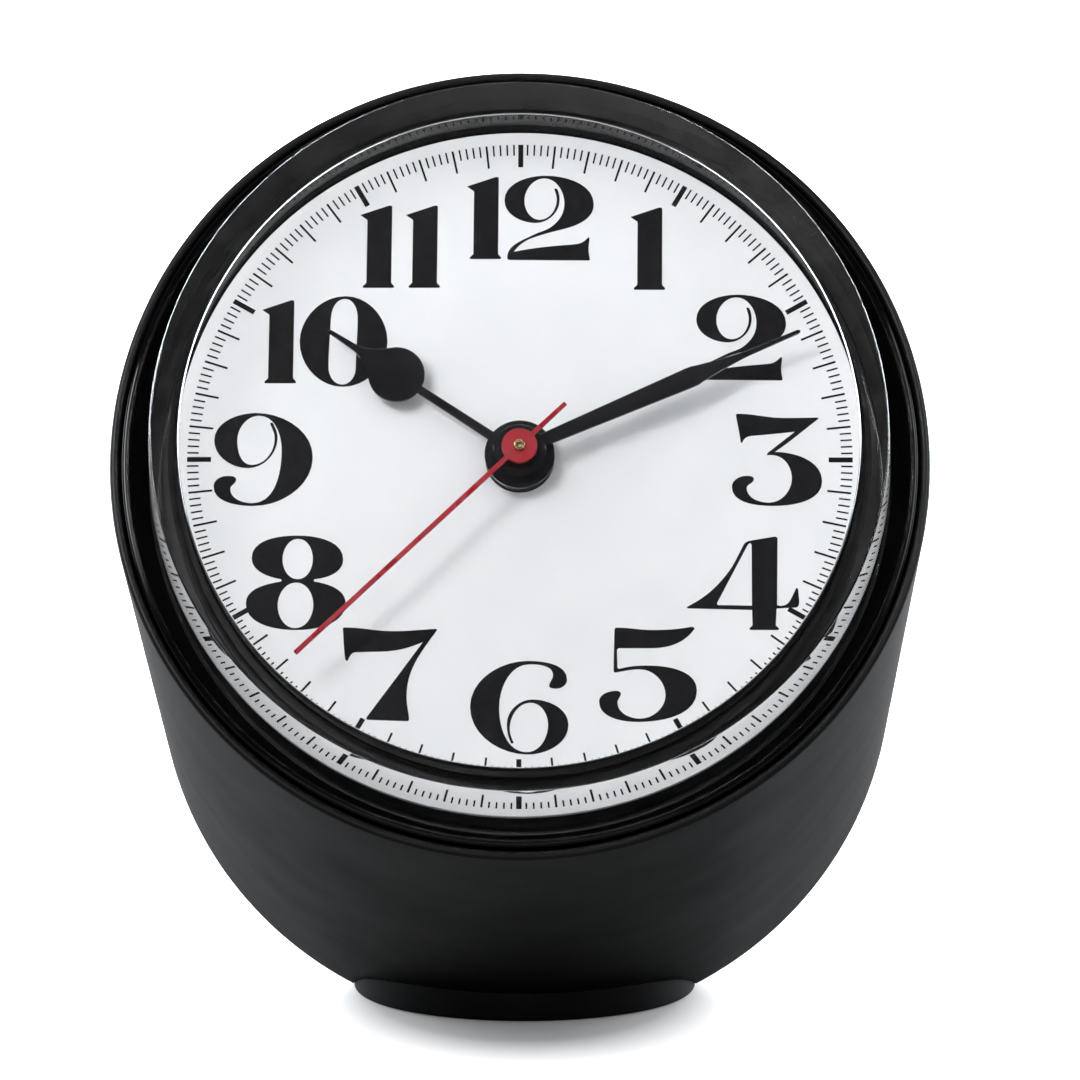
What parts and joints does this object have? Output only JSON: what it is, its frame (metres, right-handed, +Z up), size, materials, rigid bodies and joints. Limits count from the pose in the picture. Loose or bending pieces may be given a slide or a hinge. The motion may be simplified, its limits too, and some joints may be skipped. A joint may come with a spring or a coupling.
{
  "type": "desk clock",
  "caption": "Black desk clock: a drawn metal tube leaning back on a weighted round foot, white numeral dial under a thick clear cup crystal, battery quartz movement.",
  "frame": {"origin": "centre of the foot pad's underside, on the table", "axes": "+Z up, -Y towards the viewer of the dial, +X to the right of the dial; the clock's axis leans back, out of the dial along (0, -0.911, 0.413)"},
  "size_m": [0.085, 0.1251, 0.1076],
  "materials": {
    "case_paint": "satin",
    "foot_paint": "satin",
    "pad_rubber": "matte",
    "gasket_rubber": "matte",
    "screw_steel": "satin",
    "ballast_iron": "rough",
    "bezel_gloss": "gloss",
    "crystal_clear": "clear gloss",
    "inner_moulding": "matte",
    "dial_white": "satin",
    "housing_grey": "matte",
    "knob_grey": "matte",
    "bobbin_moulding": "matte",
    "plate_moulding": "matte",
    "soft_iron": "satin",
    "coil_copper": "satin",
    "board_green": "satin",
    "chip_black": "matte",
    "can_steel": "satin",
    "contact_steel": "satin",
    "battery_sleeve": "satin",
    "hand_black": "gloss",
    "hand_red": "satin",
    "tube_brass": "polished",
    "pinion_brass": "satin",
    "wheel_ivory": "matte",
    "rotor_magnet": "matte"
  },
  "bodies": {
    "case": {"case_shell": "case_paint", "foot_disc": "foot_paint", "foot_pad": "pad_rubber", "foot_screw_1": "screw_steel", "foot_screw_2": "screw_steel", "foot_screw_3": "screw_steel", "ballast_weight": "ballast_iron"},
    "clock_unit": {"bezel_ring": "bezel_gloss", "crystal": "crystal_clear", "crystal_gasket": "gasket_rubber", "retaining_ring": "inner_moulding", "dial": "dial_white", "dial_carrier": "inner_moulding", "front_housing": "housing_grey", "back_housing": "housing_grey", "movement_screw_1": "screw_steel", "movement_screw_2": "screw_steel", "middle_plate": "plate_moulding", "train_bridge": "plate_moulding", "stator_plate": "soft_iron", "coil_core": "soft_iron", "coil_bobbin": "bobbin_moulding", "coil_winding": "coil_copper", "circuit_board": "board_green", "driver_chip": "chip_black", "quartz_can": "can_steel", "contact_plus": "contact_steel", "contact_minus": "contact_steel"},
    "battery_cell": {"battery": "battery_sleeve"},
    "minute": {"minute_hand": "hand_black", "cannon_pinion": "pinion_brass"},
    "hour": {"hour_hand": "hand_black", "hour_wheel": "wheel_ivory"},
    "reverse": {"reverse_wheel": "wheel_ivory"},
    "setting": {"setting_pinion": "wheel_ivory", "setting_knob": "knob_grey"},
    "second": {"second_hand": "hand_red", "second_hand_tube": "tube_brass", "second_wheel": "wheel_ivory"},
    "intermediate": {"intermediate_wheel": "wheel_ivory"},
    "motor_rotor": {"rotor": "rotor_magnet"},
    "third": {"third_wheel": "wheel_ivory"},
    "minute_drive": {"minute_wheel": "wheel_ivory"}
  },
  "joints": [
    {"name": "clock_unit_slide", "type": "slide", "parent": "case", "child": "clock_unit", "axis": [0, -0.9107, 0.4131], "range_m": [0, 0.04]},
    {"name": "battery_slide", "type": "slide", "parent": "clock_unit", "child": "battery_cell", "axis": [0, 0.9107, -0.4131], "range_m": [0, 0.012]},
    {"name": "minute_hand_turn", "type": "hinge", "parent": "clock_unit", "child": "minute", "pos_m": [0, -0.06272, 0.06902], "axis": [0, 0.9107, -0.4131], "continuous": true},
    {"name": "hour_hand_turn", "type": "hinge", "parent": "clock_unit", "child": "hour", "pos_m": [0, -0.06272, 0.06902], "axis": [0, 0.9107, -0.4131], "continuous": true},
    {"name": "reverse_wheel_turn", "type": "hinge", "parent": "clock_unit", "child": "reverse", "pos_m": [0.00624, -0.06421, 0.06574], "axis": [0, 0.9107, -0.4131], "continuous": true},
    {"name": "setting_knob_turn", "type": "hinge", "parent": "clock_unit", "child": "setting", "pos_m": [0.01333, -0.06473, 0.06461], "axis": [0, 0.9107, -0.4131], "continuous": true},
    {"name": "second_hand_turn", "type": "hinge", "parent": "clock_unit", "child": "second", "pos_m": [0, -0.06272, 0.06902], "axis": [0, 0.9107, -0.4131], "continuous": true},
    {"name": "intermediate_wheel_turn", "type": "hinge", "parent": "clock_unit", "child": "intermediate", "pos_m": [0.00605, -0.06097, 0.07288], "axis": [0, 0.9107, -0.4131], "continuous": true},
    {"name": "rotor_turn", "type": "hinge", "parent": "clock_unit", "child": "motor_rotor", "pos_m": [0.01128, -0.06078, 0.07329], "axis": [0, 0.9107, -0.4131], "continuous": true},
    {"name": "third_wheel_turn", "type": "hinge", "parent": "clock_unit", "child": "third", "pos_m": [-0.00661, -0.06145, 0.07183], "axis": [0, 0.9107, -0.4131], "continuous": true},
    {"name": "minute_wheel_turn", "type": "hinge", "parent": "clock_unit", "child": "minute_drive", "pos_m": [0, -0.06272, 0.06902], "axis": [0, 0.9107, -0.4131], "continuous": true}
  ],
  "couplings": [
    {"joint": "hour_hand_turn", "follows": "minute_hand_turn", "ratio": 0.083333},
    {"joint": "reverse_wheel_turn", "follows": "minute_hand_turn", "ratio": -0.33333},
    {"joint": "setting_knob_turn", "follows": "minute_hand_turn", "ratio": 1},
    {"joint": "intermediate_wheel_turn", "follows": "second_hand_turn", "ratio": -5},
    {"joint": "rotor_turn", "follows": "second_hand_turn", "ratio": 30},
    {"joint": "third_wheel_turn", "follows": "second_hand_turn", "ratio": -0.13333},
    {"joint": "minute_wheel_turn", "follows": "second_hand_turn", "ratio": 0.016667}
  ]
}
